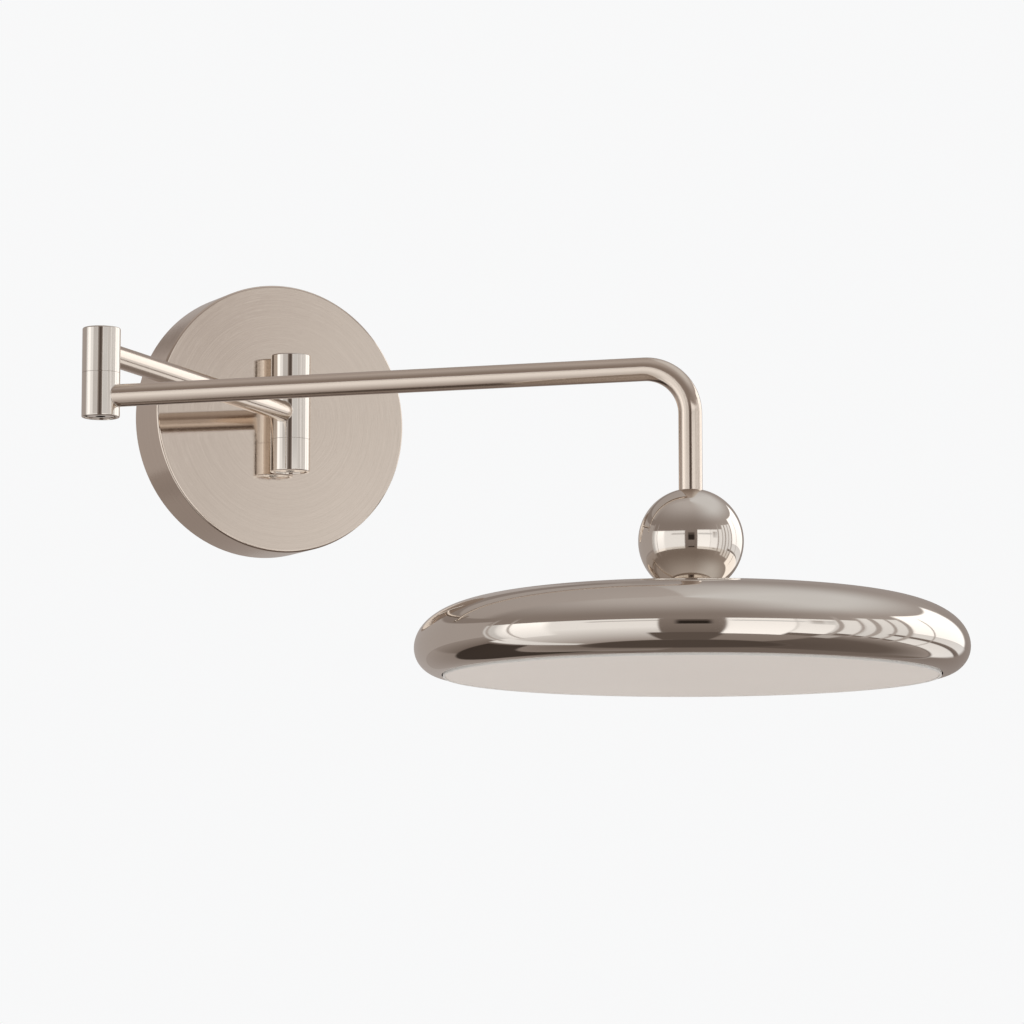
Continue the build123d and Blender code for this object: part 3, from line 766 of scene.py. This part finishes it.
class Room(Look):
    """The dome's light by direction: ceiling, windows, walls and a dark floor."""

    def __init__(self):
        super().__init__("studio_room", (0, 0, 0), 0.0, 1.0)
        self.emission = self.node("ShaderNodeEmission")
        output = self.tree.nodes["Material Output"]
        self.tree.links.new(self.emission.outputs[0], output.inputs["Surface"])
        place = self.node("ShaderNodeTexCoord").outputs["Object"]
        unit = self.node("ShaderNodeVectorMath", {"operation": "NORMALIZE"})
        self.tree.links.new(place, unit.inputs[0])
        split = self.node("ShaderNodeSeparateXYZ", Vector=unit.outputs[0])
        self.elevation = self.add(self.add(split.outputs[2], 0.0, "ARCSINE"), 180 / pi, "MULTIPLY")
        turned = self.add(split.outputs[0], self.add(split.outputs[1], -1.0, "MULTIPLY"), "ARCTAN2")
        self.heading = self.add(turned, 180 / pi, "MULTIPLY")

    def step(self, value, start, end):
        """0 below start and 1 above end, smooth between."""
        made = self.node("ShaderNodeMapRange", {"interpolation_type": "SMOOTHSTEP"}, Value=value)
        made.inputs["From Min"].default_value = start
        made.inputs["From Max"].default_value = end
        return made.outputs[0]

    def ramp(self, value, start, end):
        """0 at start and 1 at end, in a straight line between."""
        return self.span(value, start, end, 0.0, 1.0)

    def between(self, value, low, high, soft):
        rising = self.step(value, low - soft, low + soft)
        falling = self.step(value, high - soft, high + soft)
        return self.add(rising, falling, "SUBTRACT")

    def over(self, base, color, mask):
        made = self.node("ShaderNodeMix", {"data_type": "RGBA"})
        self.tree.links.new(mask, made.inputs[0])
        if isinstance(base, bpy.types.NodeSocket):
            self.tree.links.new(base, made.inputs[6])
        else:
            made.inputs[6].default_value = (*base, 1)
        if isinstance(color, bpy.types.NodeSocket):
            self.tree.links.new(color, made.inputs[7])
        else:
            made.inputs[7].default_value = (*color, 1)
        return made.outputs[2]


# The room by direction, in degrees. A heading is 0 toward the camera's place and grows to its
# right, and an elevation is 0 level and grows upward. Each patch is left, right, low and high,
# then its tone at the low edge and at the high edge, and how soft its sides are. The patches were
# typed one by one and adjusted until the metal, seen from the camera's place, had about the tones
# that were measured in the reflections on the original. So they are a likeness of the room that
# the original stood in, and not a plain studio. The comments in the list are guesses.
ROOM_TURN = 27.5
WINDOW_TOP = 15.5
SKIRTING = -68.0
ROOM_PATCHES = [
    # the darker wall on the left, with low furniture along it
    (-185.0, -94.0, -13.0, 24.0, 0.43, 0.43, 2.0),
    (-185.0, -94.0, -30.0, -13.0, 0.20, 0.34, 2.0),
    (-185.0, -138.0, -34.0, -13.0, 0.29, 0.38, 3.0),
    (-185.0, -94.0, SKIRTING, -50.0, 0.20, 0.32, 2.0),
    (-170.0, -102.0, -52.0, -31.0, 0.06, 0.05, 2.0),
    (-185.0, -105.0, 32.0, 85.0, 0.40, 0.48, 9.0),
    # the left window, with its drape, over a floor that it lights
    (-94.0, -12.0, SKIRTING, -14.0, 0.36, 0.98, 2.0),
    (-94.0, -12.0, -15.0, WINDOW_TOP, 0.98, 0.98, 0.8),
    (-94.0, -87.0, -26.0, WINDOW_TOP, 0.66, 0.70, 1.5),
    (-98.0, -84.0, -66.0, -27.0, 0.80, 0.98, 2.0),
    (-83.0, -61.0, -30.0, WINDOW_TOP, 1.00, 1.40, 3.0),
    (-43.0, -12.0, 7.4, 10.6, 0.62, 0.62, 3.0),
    # the pier between the windows, and the dark shape in front of it
    (-14.0, 12.5, -37.0, WINDOW_TOP, 0.18, 0.26, 0.8),
    (-20.0, 14.0, SKIRTING, -37.0, 0.125, 0.125, 1.5),
    (-7.0, 6.5, -4.0, 7.4, 0.03, 0.03, 1.6),
    (-7.0, 6.5, 7.4, 11.5, 0.10, 0.10, 1.6),
    # the right window, and the floor under it
    (14.0, 60.0, SKIRTING, -40.0, 0.26, 0.30, 1.5),
    (12.5, 40.0, -41.0, 17.0, 1.28, 1.10, 0.8),
    (40.0, 57.0, -31.0, 17.0, 1.15, 1.00, 1.5),
    (14.0, 44.0, 7.4, 10.6, 0.70, 0.70, 3.0),
    # nothing in a room: these two only dim the canopy's face as the camera sees it
    (46.0, 52.4, 2.0, 13.0, 0.78, 0.50, 2.0),
    (52.4, 58.0, 2.0, 13.0, 0.86, 0.68, 1.5),
    # the glazed corner, a bright opening, and what stands outside it
    (57.0, 70.0, -25.0, 17.5, 0.92, 0.95, 1.5),
    (70.0, 96.0, -27.0, 24.0, 0.80, 0.95, 1.5),
    (96.0, 146.0, -3.0, 31.0, 1.30, 1.60, 2.5),
    (96.0, 160.0, -29.0, -3.0, 1.00, 0.85, 2.5),
    (84.0, 165.0, -16.5, -12.0, 0.16, 0.26, 1.2),
    (57.0, 150.0, SKIRTING, -44.0, 0.12, 0.15, 3.0),
    (57.0, 150.0, -44.0, -30.0, 0.15, 0.36, 3.0),
    (56.0, 66.0, -43.0, -33.0, 0.50, 0.55, 2.0),
    (147.0, 185.0, -29.0, 24.0, 0.26, 0.36, 3.0),
]
# Upright bars: heading and half width
ROOM_BARS = [
    (-92.0, 0.8), (-80.0, 0.7), (59.0, 1.2), (69.0, 0.8),
    (77.0, 1.6), (86.0, 1.0), (95.0, 1.5), (112.0, 0.6),
]
BAR_TONE = 0.46
BAR_SPAN = (-32, 26)      # in elevation
BAR_SOFT = 0.5
BAR_END_SOFT = 4
SILL_SOFT = 0.8           # how soft the patches' low and high edges are

CEILING_LOW = 0.27
CEILING_HIGH = 0.525
CEILING_RISE = (26, 80)   # the elevations between which the tone goes from low to high
LIT_LOW = 0.42
LIT_HIGH = 0.70
LIT_RISE = (28, 55)
LIT_SPAN = (45, 170)      # the headings of the ceiling's lit side
LIT_SOFT = 40
GROUND_LOW = 0.09
GROUND_HIGH = 0.19
SKIRTING_SOFT = 4
HORIZON = (-15, 10)       # the elevations between which the ground gives way to the ceiling

WARMTH_AT_BLACK = 2.9
WARMTH_FALL = 4.0
WARMTH_LEAST = 0.1
GREEN_LOSS = 0.085        # the share of the tone that green and blue lose for each unit of warmth
BLUE_LOSS = 0.13


def grey(tone):
    """A tone of the room, nearly neutral where it is bright and warmer the dimmer it is."""
    warmth = max(WARMTH_LEAST, WARMTH_AT_BLACK - WARMTH_FALL * tone)
    return (tone, tone * (1 - GREEN_LOSS * warmth), tone * (1 - BLUE_LOSS * warmth))


def room():
    """The room's material: ceiling over floor, then the patches, then the bars."""
    look = Room()
    heading, elevation = look.heading, look.elevation
    ceiling = look.over(grey(CEILING_LOW), grey(CEILING_HIGH), look.step(elevation, *CEILING_RISE))
    lit_side = look.over(grey(LIT_LOW), grey(LIT_HIGH), look.step(elevation, *LIT_RISE))
    ceiling = look.over(ceiling, lit_side, look.between(heading, *LIT_SPAN, LIT_SOFT))
    above_skirting = look.step(elevation, SKIRTING - SKIRTING_SOFT, SKIRTING + SKIRTING_SOFT)
    ground = look.over(grey(GROUND_LOW), grey(GROUND_HIGH), above_skirting)
    color = look.over(ground, ceiling, look.step(elevation, *HORIZON))
    for left, right, low, high, low_tone, high_tone, soft in ROOM_PATCHES:
        tone = look.over(grey(low_tone), grey(high_tone), look.ramp(elevation, low, high))
        sides = look.between(heading, left, right, soft)
        mask = look.add(sides, look.between(elevation, low, high, SILL_SOFT), "MULTIPLY")
        color = look.over(color, tone, mask)
    for bar, half in ROOM_BARS:
        upright = look.between(heading, bar - half, bar + half, BAR_SOFT)
        mask = look.add(upright, look.between(elevation, *BAR_SPAN, BAR_END_SOFT), "MULTIPLY")
        color = look.over(color, grey(BAR_TONE), mask)
    look.tree.links.new(color, look.emission.inputs["Color"])
    look.emission.inputs["Strength"].default_value = 1.0
    return look.material


def dome():
    """A big ball round the object that only the metal's reflections see."""
    points = []
    for i in range(DOME_ROWS + 1):
        lift = pi * (i / DOME_ROWS - 0.5) * DOME_POLE
        level_r = DOME_R * cos(lift)
        for j in range(DOME_COLUMNS):
            turn = 2 * pi * j / DOME_COLUMNS
            points.append((level_r * cos(turn), level_r * sin(turn), DOME_R * sin(lift)))
    faces = []
    for i in range(DOME_ROWS):
        here = i * DOME_COLUMNS
        above = here + DOME_COLUMNS
        for j in range(DOME_COLUMNS):
            k = (j + 1) % DOME_COLUMNS
            faces.append((here + j, above + j, above + k, here + k))
    mesh = bpy.data.meshes.new("room")
    mesh.from_pydata(points, [], faces)
    piece = bpy.data.objects.new("room", mesh)
    bpy.context.scene.collection.objects.link(piece)
    piece.rotation_euler = (0, 0, -radians(ROOM_TURN))
    piece.visible_camera = False
    piece.visible_diffuse = False
    piece.visible_shadow = False
    piece.visible_transmission = False
    mesh.materials.append(room())


floor()
backdrop()
soft_light("soft_key", (-1.6, -1.8, 1.9), 1.6, 10.0)
soft_light("soft_back", (1.5, 1.6, 1.4), 1.4, 6.0)
soft_light("soft_fill", (-0.5, -1.2, -1.25), 1.8, 2.5)
dome()

scene = bpy.context.scene
scene.view_settings.view_transform = "Standard"
